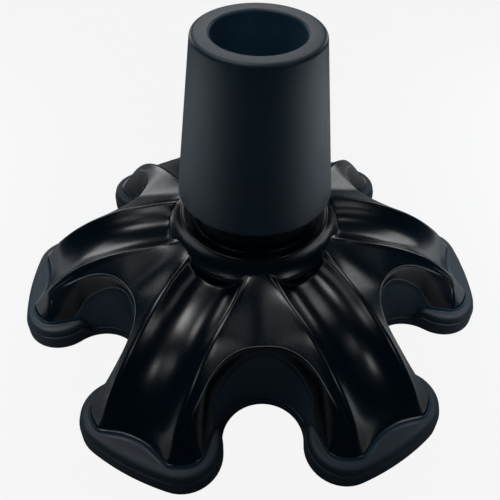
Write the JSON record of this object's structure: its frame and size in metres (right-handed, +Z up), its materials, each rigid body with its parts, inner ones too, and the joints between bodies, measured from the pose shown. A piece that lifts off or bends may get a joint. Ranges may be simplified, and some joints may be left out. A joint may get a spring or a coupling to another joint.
{
  "type": "rubber cane tip",
  "caption": "Wide rubber cane tip: a tapered blind socket over a recessed neck on a star of channelled legs with a flat sole.",
  "frame": {"origin": "centre of the flat sole, on the floor under the bore axis", "axes": "+Z up along the bore axis out of the socket's mouth, +X along one leg"},
  "size_m": [0.1158, 0.1096, 0.0749],
  "materials": {
    "black_rubber": "satin moulded black rubber"
  },
  "bodies": {
    "root": {"tip_body": "black_rubber"}
  },
  "joints": []
}
